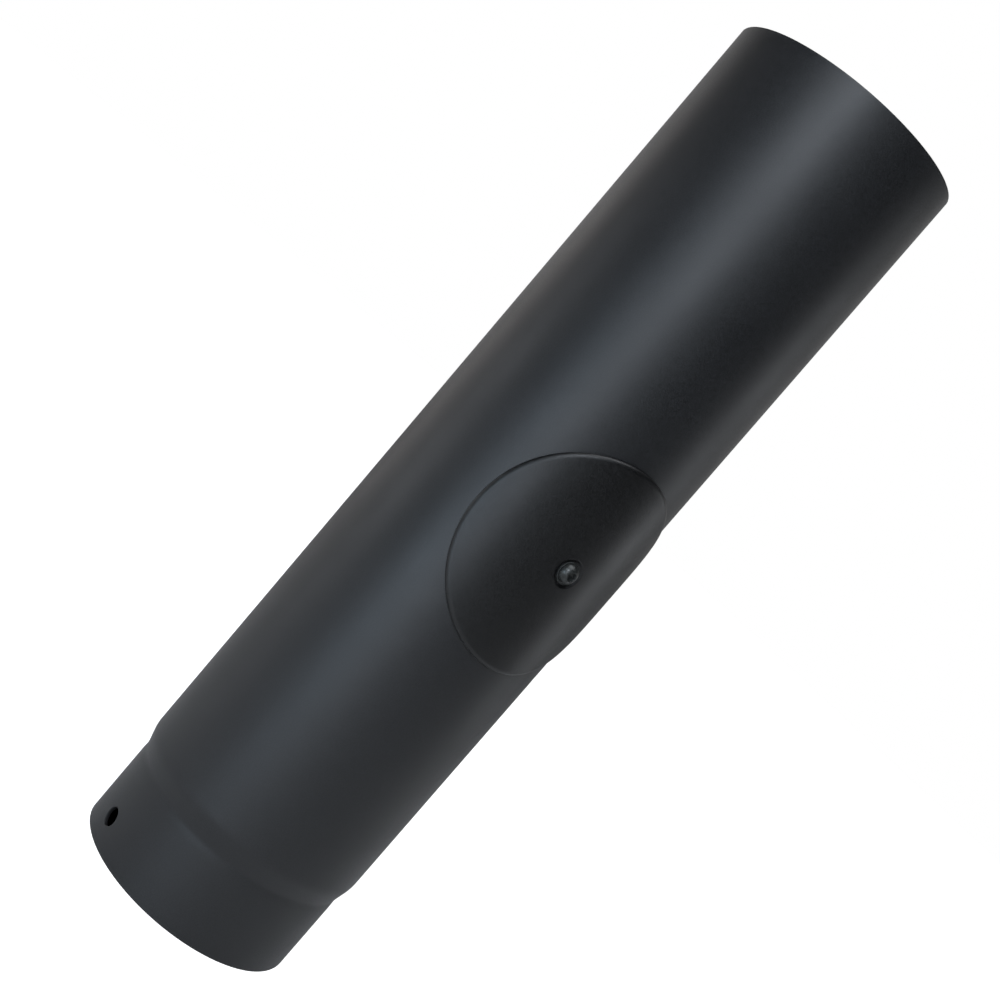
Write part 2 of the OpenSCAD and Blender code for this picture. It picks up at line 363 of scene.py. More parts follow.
class Rings:
    """Patches of quads about the screw's axis, in (across, up, out), which are merged at the end."""

    def __init__(self):
        self.verts = []
        self.faces = []

    def ring(self, radius, out):
        """One ring. Radius and out are numbers, or one number for each point."""
        start = len(self.verts)
        radii, outs = np.broadcast_to(radius, RING), np.broadcast_to(out, RING)
        for a, r, z in zip(TURNS, radii, outs):
            self.verts.append((r * math.cos(a), r * math.sin(a), float(z)))
        return list(range(start, start + RING))

    def chain(self, profile, start=None, end=None):
        """Quads through a list of (radius, out). start and end are the heights of closing points."""
        rings = [self.ring(radius, out) for radius, out in profile]
        for a, b in zip(rings, rings[1:]):
            for k in range(RING):
                n = (k + 1) % RING
                self.faces.append((a[k], a[n], b[n], b[k]))
        for closing, ring in ((start, rings[0]), (end, rings[-1])):
            if closing is not None:
                self.verts.append((0.0, 0.0, closing))
                tip = len(self.verts) - 1
                self.faces += [(tip, ring[k], ring[(k + 1) % RING]) for k in range(RING)]

    def thread(self, top, bottom, pitch, crest, root, top_radius, bottom_radius):
        """A right-handed thread from top down to bottom, which runs out to a plain ring at each end."""
        steps = 6
        shape = [crest, crest, (crest + root) / 2, root, root, (crest + root) / 2]
        rows = int(math.ceil((top - bottom) / pitch * steps)) + steps
        fade = 0.7 * pitch
        start = len(self.verts)
        for j in range(rows + 1):
            for k, a in enumerate(TURNS):
                out = top + pitch * (k / RING - j / steps)
                out = min(max(out, bottom), top)
                r = shape[j % steps]
                near_top = min(1.0, (top - out) / fade)
                near_bottom = min(1.0, (out - bottom) / fade)
                r = top_radius + (r - top_radius) * near_top
                r = bottom_radius + (r - bottom_radius) * near_bottom
                self.verts.append((r * math.cos(a), r * math.sin(a), out))

        def at(k, j):
            if k == RING:
                k, j = 0, max(j - steps, 0)
            return start + j * RING + k

        for j in range(rows):
            for k in range(RING):
                face = (at(k, j), at(k + 1, j), at(k + 1, j + 1), at(k, j + 1))
                if len(set(face)) > 2:
                    self.faces.append(tuple(dict.fromkeys(face)))

    def mesh(self, name, reach, height):
        """The merged mesh, with its zero at that reach from the pipe's axis, looking out of the door."""
        verts = [(x, -(reach + out), height + up) for x, up, out in self.verts]
        return solid_mesh(name, verts, self.faces)


def hexagon(across):
    """Distance from the axis to a hexagon's side, at each point of a ring."""
    return across / 2 / np.cos(np.mod(TURNS, math.pi / 3) - math.pi / 6)


def arc(centre, radius, first, last, steps):
    """Points of an arc as (radius, out), between two angles in degrees."""
    angles = np.radians(np.linspace(first, last, steps + 1))
    return [(centre[0] + radius * math.cos(a), centre[1] + radius * math.sin(a)) for a in angles]


# ---------------------------------------------------------------------------------------------
# Meshes and objects
# ---------------------------------------------------------------------------------------------


def solid_mesh(name, verts, faces):
    """A closed mesh: doubles merged, collapsed faces dropped, normals outwards, sharp edges marked."""
    mesh = bpy.data.meshes.new(name)
    mesh.from_pydata(verts, [], faces)
    tidy_mesh(mesh)
    return mesh


def tidy_mesh(mesh):
    shape = bmesh.new()
    shape.from_mesh(mesh)
    bmesh.ops.remove_doubles(shape, verts=shape.verts, dist=1e-6)
    bmesh.ops.dissolve_degenerate(shape, edges=shape.edges, dist=1e-7)
    bmesh.ops.recalc_face_normals(shape, faces=shape.faces)
    for face in shape.faces:
        face.smooth = True
    open_edges = sum(1 for e in shape.edges if not e.is_manifold)
    shape.to_mesh(mesh)
    shape.free()
    if open_edges:
        raise RuntimeError(f"{mesh.name} isn't closed: {open_edges} edges")
    mesh.set_sharp_from_angle(angle=SOFT_EDGE)
    mesh.update()


def add_object(name, mesh, material):
    piece = bpy.data.objects.new(name, mesh)
    bpy.context.scene.collection.objects.link(piece)
    mesh.materials.clear()
    mesh.materials.append(material)
    return piece


def settle(piece, body, slot, *nodes):
    """Hands a finished piece to its body and hides its CAD nodes."""
    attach(piece, body)
    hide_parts(*nodes)


# ---------------------------------------------------------------------------------------------
# Geometry Nodes
# ---------------------------------------------------------------------------------------------


class Tree:
    """A node tree under construction, with short calls for its nodes and links."""

    def __init__(self, name):
        self.tree = bpy.data.node_groups.new(name, "GeometryNodeTree")
        self.sockets = {}
        self.socket("Geometry", "NodeSocketGeometry")
        self.tree.interface.new_socket("Geometry", in_out="OUTPUT", socket_type="NodeSocketGeometry")
        self.start = self.tree.nodes.new("NodeGroupInput")
        self.end = self.tree.nodes.new("NodeGroupOutput")

    def socket(self, name, kind, default=None, description=""):
        made = self.tree.interface.new_socket(name, in_out="INPUT", socket_type=kind)
        made.description = description
        if default is not None:
            made.default_value = default
        self.sockets[name] = made.identifier

    def take(self, name):
        return self.start.outputs[name]

    def node(self, kind, **values):
        made = self.tree.nodes.new(kind)
        for key, value in values.items():
            setattr(made, key, value)
        return made

    def link(self, source, target):
        self.tree.links.new(source, target)

    def math(self, operation, *values):
        made = self.node("ShaderNodeMath", operation=operation)
        for k, value in enumerate(values):
            if isinstance(value, bpy.types.NodeSocket):
                self.link(value, made.inputs[k])
            else:
                made.inputs[k].default_value = value
        return made.outputs[0]

    def finish(self, geometry):
        """Ends the tree with real geometry and its material."""
        realize = self.node("GeometryNodeRealizeInstances")
        material = self.node("GeometryNodeSetMaterial")
        self.link(geometry, realize.inputs["Geometry"])
        self.link(realize.outputs["Geometry"], material.inputs["Geometry"])
        self.link(self.take("Finish"), material.inputs["Material"])
        self.link(material.outputs["Geometry"], self.end.inputs["Geometry"])


def bake(name, verts, faces, tree, values):
    """Runs a tree on a mesh and keeps the result as a plain mesh, closed and facing outwards."""
    blank = bpy.data.meshes.new(name + "_blank")
    blank.from_pydata(verts, [], faces)
    piece = bpy.data.objects.new(name, blank)
    bpy.context.scene.collection.objects.link(piece)
    modifier = piece.modifiers.new(tree.tree.name, "NODES")
    modifier.node_group = tree.tree
    for key, value in values.items():
        modifier[tree.sockets[key]] = value
    graph = bpy.context.evaluated_depsgraph_get()
    made = bpy.data.meshes.new_from_object(piece.evaluated_get(graph))
    piece.modifiers.remove(modifier)
    piece.data = made
    made.name = name
    bpy.data.meshes.remove(blank)
    tidy_mesh(made)
    return piece


def roll_tree(name, drop=None):
    """Rolls a flat sheet round the Z axis, with a pressed seat, and presses a spigot where drop is given.

    The sheet lies as (along, depth, height). drop is a list of (height, depth below the outside).
    """
    made = Tree(name)
    number = "NodeSocketFloat"
    made.socket("Roll Radius", number, 0.0635, "Radius at which lengths along the sheet are true")
    made.socket("Outer Radius", number, 0.0645, "Distance from the axis to the sheet's outer side")
    made.socket("Seat Height", number, 0.25, "Height of the pressed seat's centre")
    made.socket("Seat Radius", number, 0.0, "Radius of the flat seat; 0 leaves it out")
    made.socket("Seat Blend", number, 0.001, "Width of the slope round the seat")
    made.socket("Seat Plane", number, 0.066, "Distance from the axis to the seat")
    made.socket("Finish", "NodeSocketMaterial")
    place = made.node("ShaderNodeSeparateXYZ")
    made.link(made.node("GeometryNodeInputPosition").outputs[0], place.inputs[0])
    along, depth, height = place.outputs
    angle = made.math("DIVIDE", along, made.take("Roll Radius"))
    reach = made.math("ADD", made.take("Outer Radius"), depth)
    if drop:
        top, deepest = drop[-1][0], max(d for _, d in drop)
        curve = made.node("ShaderNodeFloatCurve")
        line = curve.mapping.curves[0]
        places = [(h / top, d / deepest) for h, d in drop]
        line.points[0].location, line.points[1].location = places[0], places[-1]
        for spot in places[1:-1]:
            line.points.new(*spot)
        for point in line.points:
            point.handle_type = "VECTOR"
        curve.mapping.use_clip = False
        curve.mapping.update()
        share = made.math("MINIMUM", made.math("DIVIDE", height, top), 1.0)
        made.link(share, curve.inputs["Value"])
        reach = made.math("SUBTRACT", reach, made.math("MULTIPLY", curve.outputs[0], deepest))
    across = made.math("MULTIPLY", reach, made.math("SINE", angle))
    toward = made.math("MULTIPLY", reach, made.math("COSINE", angle))
    above = made.math("SUBTRACT", height, made.take("Seat Height"))
    squares = made.math("ADD", made.math("MULTIPLY", across, across), made.math("MULTIPLY", above, above))
    seat = made.node("ShaderNodeMapRange", interpolation_type="SMOOTHSTEP")
    made.link(made.math("SQRT", squares), seat.inputs["Value"])
    made.link(
        made.math("ADD", made.take("Seat Radius"), made.take("Seat Blend")), seat.inputs["From Min"]
    )
    made.link(made.take("Seat Radius"), seat.inputs["From Max"])
    in_front = made.math("GREATER_THAN", toward, 0.0)
    pressed = made.math("GREATER_THAN", made.take("Seat Radius"), 0.0)
    share = made.math(
        "MULTIPLY", seat.outputs["Result"], made.math("MULTIPLY", in_front, pressed)
    )
    flat = made.math("ADD", made.take("Seat Plane"), depth)
    press = made.math("MULTIPLY", made.math("SUBTRACT", flat, toward), share)
    toward = made.math("ADD", toward, press)
    joined = made.node("ShaderNodeCombineXYZ")
    made.link(across, joined.inputs[0])
    made.link(made.math("MULTIPLY", toward, -1.0), joined.inputs[1])
    made.link(height, joined.inputs[2])
    move = made.node("GeometryNodeSetPosition")
    made.link(made.take("Geometry"), move.inputs["Geometry"])
    made.link(joined.outputs[0], move.inputs["Position"])
    made.finish(move.outputs["Geometry"])
    return made


def two_ends_tree():
    """Sets a weld bead at both ends of the bar, the lower one turned over."""
    made = Tree("weld_at_both_ends")
    made.socket("Centre Height", "NodeSocketFloat", 0.25, "Height of the bar's middle")
    made.socket("Reach", "NodeSocketFloat", 0.056, "Distance from the middle to each bead")
    made.socket("Finish", "NodeSocketMaterial")
    line = made.node("GeometryNodeMeshLine", mode="END_POINTS", count_mode="TOTAL")
    line.inputs["Count"].default_value = 2
    for name, sign in (("Start Location", 1.0), ("Offset", -1.0)):
        spot = made.node("ShaderNodeCombineXYZ")
        away = made.math("MULTIPLY", made.take("Reach"), sign)
        made.link(made.math("ADD", made.take("Centre Height"), away), spot.inputs[2])
        made.link(spot.outputs[0], line.inputs[name])
    turn = made.node("ShaderNodeCombineXYZ")
    index = made.node("GeometryNodeInputIndex").outputs[0]
    made.link(made.math("MULTIPLY", index, math.pi), turn.inputs[1])
    beads = made.node("GeometryNodeInstanceOnPoints")
    made.link(line.outputs["Mesh"], beads.inputs["Points"])
    made.link(made.take("Geometry"), beads.inputs["Instance"])
    made.link(turn.outputs[0], beads.inputs["Rotation"])
    made.finish(beads.outputs["Instances"])
    return made


# ---------------------------------------------------------------------------------------------
# Materials
# ---------------------------------------------------------------------------------------------


class Finish:
    """A material under construction, on Object coordinates in metres."""

    def __init__(self, name, roughness, metallic=0.0):
        self.material = bpy.data.materials.new(name)
        self.material.use_nodes = True
        self.nodes = self.material.node_tree.nodes
        self.links = self.material.node_tree.links
        self.shader = self.nodes["Principled BSDF"]
        self.shader.inputs["Roughness"].default_value = roughness
        self.shader.inputs["Metallic"].default_value = metallic
        self.place = self.nodes.new("ShaderNodeTexCoord").outputs["Object"]

    def link(self, source, target):
        self.links.new(source, target)

    def math(self, operation, *values):
        node = self.nodes.new("ShaderNodeMath")
        node.operation = operation
        for k, value in enumerate(values):
            if isinstance(value, bpy.types.NodeSocket):
                self.link(value, node.inputs[k])
            else:
                node.inputs[k].default_value = value
        return node.outputs[0]

    def noise(self, size, detail=2.0, stretch=(1.0, 1.0, 1.0), rough=0.5):
        """Noise whose spots are about that size in metres."""
        mapping = self.nodes.new("ShaderNodeMapping")
        mapping.inputs["Scale"].default_value = [1.0 / size / s for s in stretch]
        self.link(self.place, mapping.inputs["Vector"])
        node = self.nodes.new("ShaderNodeTexNoise")
        node.inputs["Scale"].default_value = 1.0
        node.inputs["Detail"].default_value = detail
        node.inputs["Roughness"].default_value = rough
        self.link(mapping.outputs[0], node.inputs["Vector"])
        return node.outputs["Fac"]

    def between(self, value, low, high, out_low, out_high):
        node = self.nodes.new("ShaderNodeMapRange")
        node.inputs["From Min"].default_value = low
        node.inputs["From Max"].default_value = high
        node.inputs["To Min"].default_value = out_low
        node.inputs["To Max"].default_value = out_high
        self.link(value, node.inputs["Value"])
        return node.outputs["Result"]

    def tint(self, value, dark, light):
        """A colour between two, by a value from 0 to 1."""
        node = self.nodes.new("ShaderNodeMix")
        node.data_type = "RGBA"
        self.link(value, node.inputs[0])
        node.inputs[6].default_value = (*dark, 1.0)
        node.inputs[7].default_value = (*light, 1.0)
        return node.outputs[2]

    def bump(self, height, distance, strength=1.0, under=None):
        node = self.nodes.new("ShaderNodeBump")
        node.inputs["Distance"].default_value = distance
        node.inputs["Strength"].default_value = strength
        self.link(height, node.inputs["Height"])
        if under is not None:
            self.link(under, node.inputs["Normal"])
        return node.outputs["Normal"]


def scaled(colour, factor):
    return tuple(min(1.0, c * factor) for c in colour)


def paint_finish(name, colour, grain, grain_depth, roughness, gloss=0.5, seam=False):
    """Heat-resistant black paint: a fine dry grain over soft waves, with a little change in gloss."""
    made = Finish(name, roughness)
    made.shader.inputs["Specular IOR Level"].default_value = gloss
    fine = made.noise(grain, detail=3.0, rough=0.6)
    patch = made.noise(0.045, detail=2.0)
    wave = made.noise(0.022, detail=1.0, stretch=(1.0, 1.0, 2.2))
    speck = made.between(fine, 0.38, 0.66, 0.0, 1.0)
    tone = made.tint(speck, scaled(colour, 0.5), scaled(colour, 1.5))
    made.link(tone, made.shader.inputs["Base Color"])
    by_patch = made.between(patch, 0.3, 0.7, -0.025, 0.025)
    by_grain = made.between(fine, 0.3, 0.7, -0.06, 0.06)
    shift = made.math("ADD", by_patch, by_grain)
    made.link(made.math("ADD", shift, roughness), made.shader.inputs["Roughness"])
    normal = made.bump(wave, 0.00006, 0.5)
    if seam:
        normal = made.bump(seam_height(made), 0.0001, 0.8, normal)
    made.link(made.bump(fine, grain_depth, 1.0, normal), made.shader.inputs["Normal"])
    return made.material


def seam_height(made):
    """The low ground-down weld along the back of the pipe, as a height from 0 to 1."""
    split = made.nodes.new("ShaderNodeSeparateXYZ")
    made.link(made.place, split.inputs[0])
    waver = made.between(made.noise(0.008), 0.0, 1.0, -0.0004, 0.0004)
    off = made.math("ABSOLUTE", made.math("ADD", split.outputs[0], waver))
    ridge = made.between(off, 0.0009, 0.0022, 1.0, 0.0)
    behind = made.math("GREATER_THAN", split.outputs[1], 0.0)
    scales = made.between(made.noise(0.0016, stretch=(2.0, 2.0, 1.0)), 0.3, 0.7, 0.0, 0.5)
    ripple = made.math("ADD", scales, 0.6)
    return made.math("MULTIPLY", made.math("MULTIPLY", ridge, behind), ripple)


def steel_finish(name, colour, roughness, scale_size, metallic=1.0, depth=0.00002):
    """Dark mill scale or black oxide on steel."""
    made = Finish(name, roughness, metallic)
    scale = made.noise(scale_size, detail=4.0, rough=0.6)
    fine = made.noise(scale_size * 0.18, detail=2.0)
    tone = made.between(scale, 0.35, 0.68, 0.0, 1.0)
    mottled = made.tint(tone, scaled(colour, 0.72), scaled(colour, 1.28))
    made.link(mottled, made.shader.inputs["Base Color"])
    shift = made.math("ADD", made.between(scale, 0.3, 0.7, -0.07, 0.07), roughness)
    made.link(shift, made.shader.inputs["Roughness"])
    made.link(made.bump(fine, depth, 0.6), made.shader.inputs["Normal"])
    return made.material


def fibre_finish(name, colour):
    """Pressed glass fibre: short matted threads."""
    made = Finish(name, 0.93)
    one = made.noise(0.0007, detail=3.0, stretch=(5.0, 1.0, 1.0), rough=0.65)
    other = made.noise(0.0007, detail=3.0, stretch=(1.0, 1.0, 5.0), rough=0.65)
    mat = made.math("MAXIMUM", one, other)
    tone = made.between(mat, 0.42, 0.72, 0.0, 1.0)
    mottled = made.tint(tone, scaled(colour, 0.68), scaled(colour, 1.18))
    made.link(mottled, made.shader.inputs["Base Color"])
    made.link(made.bump(mat, 0.00012, 0.8), made.shader.inputs["Normal"])
    return made.material


def finish_of(slot):
    """The finish of a slot, made at its first use. The frame's own materials carry the bare slot names."""
    name = slot + "_finish"
    if name in bpy.data.materials:
        return bpy.data.materials[name]
    colours = bpy.context.scene.pipe_finishes
    if slot == "pipe_paint":
        return paint_finish(name, colours.pipe_colour, 0.0006, 0.00003, 0.48, seam=True)
    if slot == "cover_paint":
        return paint_finish(name, colours.cover_colour, 0.0008, 0.00005, 0.42, gloss=0.42)
    if slot == "inner_steel":
        return steel_finish(name, colours.steel_colour, 0.5, 0.004)
    if slot == "screw_black":
        return steel_finish(name, colours.screw_colour, 0.34, 0.0012, metallic=0.6)
    if slot == "gasket_fibre":
        return fibre_finish(name, colours.gasket_colour)
    raise RuntimeError(f"no finish is known for {slot}")


# ---------------------------------------------------------------------------------------------
# The pieces
# ---------------------------------------------------------------------------------------------


def spread(first, last, step):
    """Even steps of about that length from first to last, both ends included."""
    count = max(1, int(round((last - first) / step)))
    return [first + (last - first) * k / count for k in range(count + 1)]


def merged(*lists):
    """One rising list of grid lines, without doubles."""
    places = sorted(value for values in lists for value in values)
    kept = places[:1]
    for value in places[1:]:
        if value - kept[-1] > 1e-5:
            kept.append(value)
    return kept


def spigot_line(sizes):
    """How far the wall lies inside the pipe's outside, by height, from the foot to above the shoulder."""
    slope = math.tan(sizes.shoulder_angle)
    bend_rise = sizes.shoulder_bend * (1 - math.cos(sizes.shoulder_angle))
    slope_top = sizes.shoulder_foot + (sizes.neck_drop - bend_rise) / slope
    bend_top = slope_top + sizes.shoulder_bend * math.sin(sizes.shoulder_angle)

    def sharp(h):
        if h <= sizes.neck_start:
            return sizes.spigot_drop
        if h <= sizes.shoulder_foot:
            share = (h - sizes.neck_start) / (sizes.shoulder_foot - sizes.neck_start)
            return sizes.spigot_drop + (sizes.neck_drop - sizes.spigot_drop) * share
        if h <= slope_top:
            return sizes.neck_drop - (h - sizes.shoulder_foot) * slope
        if h <= bend_top:
            left = bend_top - h
            return sizes.shoulder_bend - math.sqrt(sizes.shoulder_bend**2 - left**2)
        return 0.0

    soft = 0.0009
    heights = merged(
        [0.0], spread(sizes.neck_start - 2 * soft, bend_top + 2 * soft, 0.0008), [bend_top + 0.004]
    )
    return [(h, sum(sharp(h + soft * k / 3) for k in range(-3, 4)) / 7) for h in heights]


class PIPE_OT_tube(Operator):
    """Build the pipe: cut flat, rolled, welded up the back, with its spigot pressed down"""

    bl_idname = "stovepipe.tube"
    bl_label = "Pipe"

    def execute(self, context):
        sizes = context.scene.pipe_sizes
        roll = sizes.outer_radius - sizes.wall / 2
        cell = 2 * math.pi * roll / sizes.columns
        columns = [cell * (k - sizes.columns / 2) for k in range(sizes.columns)]
        edge = sizes.edge_radius
        hole_half, door_half = 4, int(math.ceil((sizes.opening_radius + 0.008) / cell))
        hole_rows = [sizes.hole_height + cell * k for k in range(-hole_half, hole_half + 1)]
        door_rows = [sizes.opening_height + cell * k for k in range(-door_half, door_half + 1)]
        drop = spigot_line(sizes)
        shoulder_top = drop[-1][0]
        rows = merged(
            [edge, 2.2 * edge, 0.0026],
            hole_rows,
            spread(hole_rows[-1], sizes.neck_start - 0.001, 0.005)[1:],
            spread(sizes.neck_start, shoulder_top, 0.0009),
            spread(shoulder_top, door_rows[0], 0.005)[1:-1],
            door_rows,
            spread(door_rows[-1], PIPE_HEIGHT - 2.2 * edge, 0.005)[1:],
            [PIPE_HEIGHT - edge],
        )
        hole_row = rows.index(hole_rows[hole_half])
        door_row = rows.index(door_rows[door_half])
        sheet = grid_sheet(
            columns,
            rows,
            wraps=True,
            edge=edge,
            holes=[
                (sizes.columns // 4, hole_row, hole_half, sizes.hole_radius),
                (sizes.columns // 2, door_row, door_half, sizes.opening_radius),
            ],
        )
        profile = edge_profile(edge, edge, edge, sizes.wall)
        verts, faces = thicken(sheet, sizes.wall, [profile] * len(sheet.edges))
        tree = roll_tree("roll_and_press_spigot", drop)
        values = {
            "Roll Radius": roll,
            "Outer Radius": sizes.outer_radius,
            "Finish": finish_of("pipe_paint"),
        }
        piece = bake("rolled_pipe", verts, faces, tree, values)
        settle(piece, "pipe", "pipe_paint", "pipe_tube")
        return {"FINISHED"}


class PIPE_OT_door(Operator):
    """Build the door's cover with its pressed seat, and the gasket inside its rim"""

    bl_idname = "stovepipe.door"
    bl_label = "Door"

    def execute(self, context):
        sizes = context.scene.door_sizes
        centre = context.scene.pipe_sizes.opening_height
        roll = sizes.cover_inside + sizes.thickness / 2
        hole_edge = 0.0002
        flat_edge = sizes.cover_radius - sizes.edge_width
        seat_end = sizes.seat_radius + sizes.seat_blend
        radii = merged(
            [sizes.hole_radius + hole_edge, sizes.hole_radius + 0.0005],
            spread(sizes.hole_radius + 0.001, sizes.seat_radius - 0.0002, 0.0008),
            spread(sizes.seat_radius, seat_end, 0.00018),
            spread(seat_end + 0.0004, 0.012, 0.0011),
            spread(0.0135, 0.020, 0.002),
            spread(0.0235, flat_edge - 0.0015, 0.004),
            [flat_edge - 0.0007, flat_edge - 0.00025, flat_edge],
        )
        sheet = disc_sheet(radii, sizes.segments, centre)
        profiles = [
            edge_profile(hole_edge, hole_edge, hole_edge, sizes.thickness, 3),
            edge_profile(sizes.edge_width, sizes.edge_depth, 0.00015, sizes.thickness, 9),
        ]
        verts, faces = thicken(sheet, sizes.thickness, profiles)
        tree = roll_tree("roll_and_press_seat")
        values = {
            "Roll Radius": roll,
            "Outer Radius": sizes.cover_inside + sizes.thickness,
            "Seat Height": centre,
            "Seat Radius": sizes.seat_radius,
            "Seat Blend": sizes.seat_blend,
            "Seat Plane": SEAT_PLANE,
            "Finish": finish_of("cover_paint"),
        }
        piece = bake("rolled_cover", verts, faces, tree, values)
        settle(piece, "door", "cover_paint", "door_cover")

        soft = sizes.gasket_thickness / 3
        inner = sizes.gasket_outer - sizes.gasket_width
        outer = sizes.gasket_outer
        steps = spread(inner + 0.0004, outer - 0.0004, 0.0018)
        radii = merged([inner + soft], steps, [outer - soft])
        ring = disc_sheet(radii, sizes.segments, centre)
        profile = edge_profile(soft, soft, soft, sizes.gasket_thickness, 2)
        verts, faces = thicken(ring, sizes.gasket_thickness, [profile, profile])
        values["Outer Radius"] = sizes.cover_inside
        values["Seat Radius"] = 0.0
        values["Finish"] = finish_of("gasket_fibre")
        piece = bake("rolled_gasket", verts, faces, tree, values)
        settle(piece, "door", "gasket_fibre", "door_gasket")
        return {"FINISHED"}


class PIPE_OT_bridge(Operator):
    """Build the bar across the opening, the welds at its ends and the nut behind it"""

    bl_idname = "stovepipe.bridge"
    bl_label = "Bridge bar"

    def execute(self, context):
        sizes = context.scene.fastener_sizes
        centre = context.scene.pipe_sizes.opening_height
        half = sizes.bar_width / 2
        low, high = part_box("bridge_bar")
        reach = (high.z - low.z) / 2
        edge, cell, cells = sizes.bar_edge, 0.00125, 5
        middle = [cell * k for k in range(-cells, cells + 1)]
        columns = merged([-half + edge, -half + 2 * edge], middle, [half - 2 * edge, half - edge])
        rows = merged(
            [-reach + edge, -reach + 2 * edge],
            spread(-reach + 0.005, -0.0125, 0.006),
            middle,
            spread(0.0125, reach - 0.005, 0.006),
            [reach - 2 * edge, reach - edge],
        )
        hole = (columns.index(0.0), rows.index(0.0), cells, sizes.bar_hole)
        sheet = grid_sheet(columns, rows, holes=[hole], edge=edge / 2)
        thickness = BAR_FACE - BAR_BACK
        profiles = [
            edge_profile(edge / 2, edge / 2, edge / 2, thickness),
            edge_profile(edge, edge, edge, thickness),
        ]
        verts, faces = thicken(sheet, thickness, profiles)
        placed = [(x, -(BAR_FACE + depth), centre + z) for x, depth, z in verts]
        plate = solid_mesh("bridge_plate", placed, faces)
        bar = add_object("bridge_plate", plate, finish_of("inner_steel"))
        settle(bar, "pipe", "inner_steel", "bridge_bar")

        verts, faces = weld_bead(sizes, context.scene.pipe_sizes)
        values = {"Centre Height": centre, "Reach": reach, "Finish": finish_of("inner_steel")}
        welds = bake("weld_beads", verts, faces, two_ends_tree(), values)
        settle(welds, "pipe", "inner_steel", "bridge_welds")

        nut = add_object("welded_nut", nut_mesh(sizes, centre), finish_of("inner_steel"))
        settle(nut, "pipe", "inner_steel", "weld_nut")
        return {"FINISHED"}


def weld_bead(sizes, pipe):
    """One fillet bead with its ripples, above the bar's end face, with its zero height at that face."""
    bore = pipe.outer_radius - pipe.wall - 0.00008
    half = sizes.weld_width / 2
    stations, steps = 72, 10
    verts, faces = [], []
    for k in range(stations + 1):
        x = -half + 2 * half * k / stations
        past = max(0.0, (abs(x) - half + 0.0022) / 0.0022)
        end = math.sqrt(max(0.0, 1 - past**2))
        wall = -math.sqrt(bore**2 - x**2)
        for j in range(steps + 1):
            turn = math.pi / 2 * j / steps
            ripple = 0.05 * math.cos(2 * math.pi * (x / 0.00125) + 2.2 * math.sin(turn) ** 2)
            leg = sizes.weld_leg * (0.04 + 0.96 * end) * (0.945 + ripple * end)
            bulge = 1 - 0.13 * math.sin(2 * turn)
            verts.append((x, -BAR_FACE + leg * bulge * math.cos(turn), leg * bulge * math.sin(turn)))
        verts.append((x, wall, verts[-1][2]))
        verts.append((x, wall, 0.0))
    ring = steps + 3
    for k in range(stations):
        for j in range(ring):
            a, b = k * ring + j, k * ring + (j + 1) % ring
            faces.append((a, b, b + ring, a + ring))
    faces.append(tuple(range(ring)))
    faces.append(tuple(range(stations * ring, (stations + 1) * ring)))
    return verts, faces


def nut_mesh(sizes, centre):
    """A welded hexagon nut with a collar, an inner thread and its free corners rounded off."""
    made = Rings()
    height, collar_end = sizes.nut_height, BAR_FACE - NUT_BACK - 0.001
    flat, corner = sizes.nut_across / 2, hexagon(sizes.nut_across)
    mouth = sizes.nut_bore + 0.00035
    soft = 0.00012
    made.chain(
        [
            (mouth, 0.0003),
            (mouth + 0.0003, 0.0),
            (mouth + 0.0005, 0.0),
            (flat - 0.0003, 0.0),
            (flat - 0.0001, 0.00001),
            (corner, 0.00005 + (corner - flat + 0.0001) * math.tan(math.radians(30))),
            (corner, 0.0025),
            (corner, height - soft),
            (corner - soft, height),
            (sizes.nut_collar + 0.0003, height),
            (sizes.nut_collar, height + 0.0002),
            (sizes.nut_collar, collar_end - soft),
            (sizes.nut_collar - soft, collar_end),
            (mouth + 0.0003, collar_end),
            (mouth, collar_end - 0.0003),
        ]
    )
    made.thread(
        collar_end - 0.0003, 0.0003, sizes.pitch, sizes.nut_bore, sizes.nut_bore + 0.0003, mouth, mouth
    )
    return made.mesh("welded_nut", NUT_BACK, centre)


class PIPE_OT_screw(Operator):
    """Build the washer in the cover's seat and the button-headed screw"""

    bl_idname = "stovepipe.screw"
    bl_label = "Screw and washer"

    def execute(self, context):
        sizes = context.scene.fastener_sizes
        centre = context.scene.pipe_sizes.opening_height
        washer = add_object("plain_washer", washer_mesh(sizes, centre), finish_of("screw_black"))
        settle(washer, "washer", "screw_black", "screw_washer")
        screw = add_object("button_screw", screw_mesh(sizes, centre), finish_of("screw_black"))
        settle(screw, "screw", "screw_black", "door_screw")
        return {"FINISHED"}


def washer_mesh(sizes, centre):
    """A punched washer: its outer side rolled soft, its inner side crisp."""
    made = Rings()
    thick = HEAD_SEAT - SEAT_PLANE
    inner, outer = sizes.washer_hole, sizes.washer_radius
    soft, crisp = 0.0002, 0.00008
    profile = [(inner + crisp, 0.0), (outer - crisp, 0.0), (outer, crisp)]
    profile += arc((outer - soft, thick - soft), soft, 0, 90, 4)
    profile += [(outer - 2 * soft, thick), (inner + 2 * soft, thick)]
    profile += arc((inner + soft, thick - soft), soft, 90, 180, 4)
    profile += [(inner, crisp), (inner + crisp, 0.0)]
    made.chain(profile)
    return made.mesh("plain_washer", SEAT_PLANE, centre)


